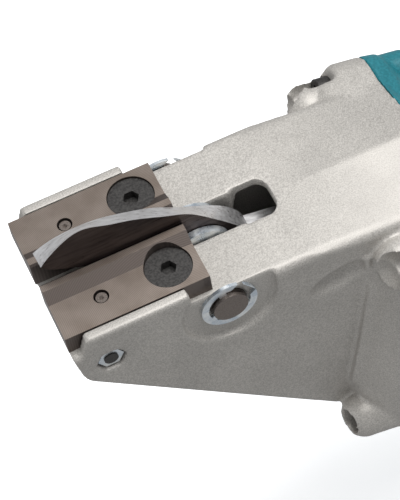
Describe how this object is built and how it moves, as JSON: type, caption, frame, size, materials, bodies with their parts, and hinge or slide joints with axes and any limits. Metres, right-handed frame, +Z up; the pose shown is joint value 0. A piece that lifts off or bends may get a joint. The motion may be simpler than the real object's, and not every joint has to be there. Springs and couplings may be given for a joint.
{
  "type": "electric shear",
  "caption": "Hand-held electric shear for cement board and siding, with a swinging centre blade between two fixed side blades on a cast head.",
  "frame": {"origin": "centre of the tool's outline, at the height of its lowest point, the rim of the cord inlet", "axes": "+X to the rear, away from the blades; +Y to the operator's right; +Z up, square to the flat tops of the side blades"},
  "size_m": [0.2708, 0.094, 0.2572],
  "materials": {
    "cast_alloy": "die cast, fine grained, matt",
    "ground_tool_steel": "ground, brownish grey",
    "blade_steel": "ground on the back edge, dark on the flanks",
    "black_oxide": "black oxide, oiled",
    "pin_steel": "ground",
    "zinc_steel": "zinc plated, blue white",
    "bearing_steel": "ground and polished",
    "bronze": "sintered, matt",
    "gear_steel": "case hardened",
    "lamination": "stacked sheet, varnished",
    "copper": "enamelled wire and hard drawn bars",
    "fan_plastic": "glass filled, matt",
    "teal_plastic": "moulded, fine texture, satin",
    "black_plastic": "moulded, matt",
    "carbon": "pressed carbon",
    "red_plastic": "moulded, matt",
    "inlet_rubber": "moulded, matt"
  },
  "bodies": {
    "tool_body": {"head_casting": "cast_alloy", "side_blade_right": "ground_tool_steel", "side_blade_left": "ground_tool_steel", "side_blade_screws": "black_oxide", "locating_pins": "pin_steel", "pivot_pin": "pin_steel", "pivot_snap_rings": "zinc_steel", "thrust_washers": "zinc_steel", "tie_bolt": "black_oxide", "tie_nut": "zinc_steel", "tie_washer": "zinc_steel", "crank_front_bearing": "bearing_steel", "crank_rear_bearing": "bearing_steel", "armature_front_bearing": "bearing_steel", "armature_rear_bearing": "bearing_steel", "bearing_plate": "cast_alloy", "housing_screws": "black_oxide", "fan_baffle": "black_plastic", "field_core": "lamination", "field_coils": "copper", "brush_holders": "bronze", "carbon_brushes": "carbon", "brush_caps": "black_plastic", "motor_housing": "teal_plastic", "handle_left": "teal_plastic", "handle_right": "teal_plastic", "switch_body": "black_plastic", "cord_inlet": "inlet_rubber", "handle_screws": "black_oxide"},
    "centre_blade": {"centre_blade": "blade_steel", "pivot_bush": "bronze"},
    "crank": {"crankshaft": "gear_steel", "crank_gear": "gear_steel", "crank_pin_bearing": "bearing_steel"},
    "rotor": {"armature_shaft": "gear_steel", "armature_core": "lamination", "armature_windings": "copper", "commutator": "copper", "fan": "fan_plastic"},
    "trigger": {"trigger": "black_plastic"},
    "lock_button": {"lock_button": "red_plastic"}
  },
  "joints": [
    {"name": "blade_swing", "type": "hinge", "parent": "tool_body", "child": "centre_blade", "pos_m": [-0.0803, 0, 0.22027], "axis": [0, -1, 0], "range_deg": [0, 12.5]},
    {"name": "rotor_spin", "type": "hinge", "parent": "tool_body", "child": "rotor", "pos_m": [0.0247, 0, 0.15586], "axis": [0.9759, 0, -0.2181], "continuous": true},
    {"name": "crank_spin", "type": "hinge", "parent": "tool_body", "child": "crank", "pos_m": [-0.02862, 0, 0.19237], "axis": [0.9759, 0, -0.2181], "continuous": true},
    {"name": "trigger_pull", "type": "slide", "parent": "tool_body", "child": "trigger", "axis": [0.9759, 0, -0.2181], "range_m": [0, 0.006], "stiffness_N_per_m": 900, "springref_m": -0.003},
    {"name": "lock_press", "type": "slide", "parent": "tool_body", "child": "lock_button", "axis": [0, 1, 0], "range_m": [0, 0.0025], "stiffness_N_per_m": 600, "springref_m": -0.002}
  ],
  "couplings": [
    {"joint": "crank_spin", "follows": "rotor_spin", "ratio": -0.23077}
  ]
}
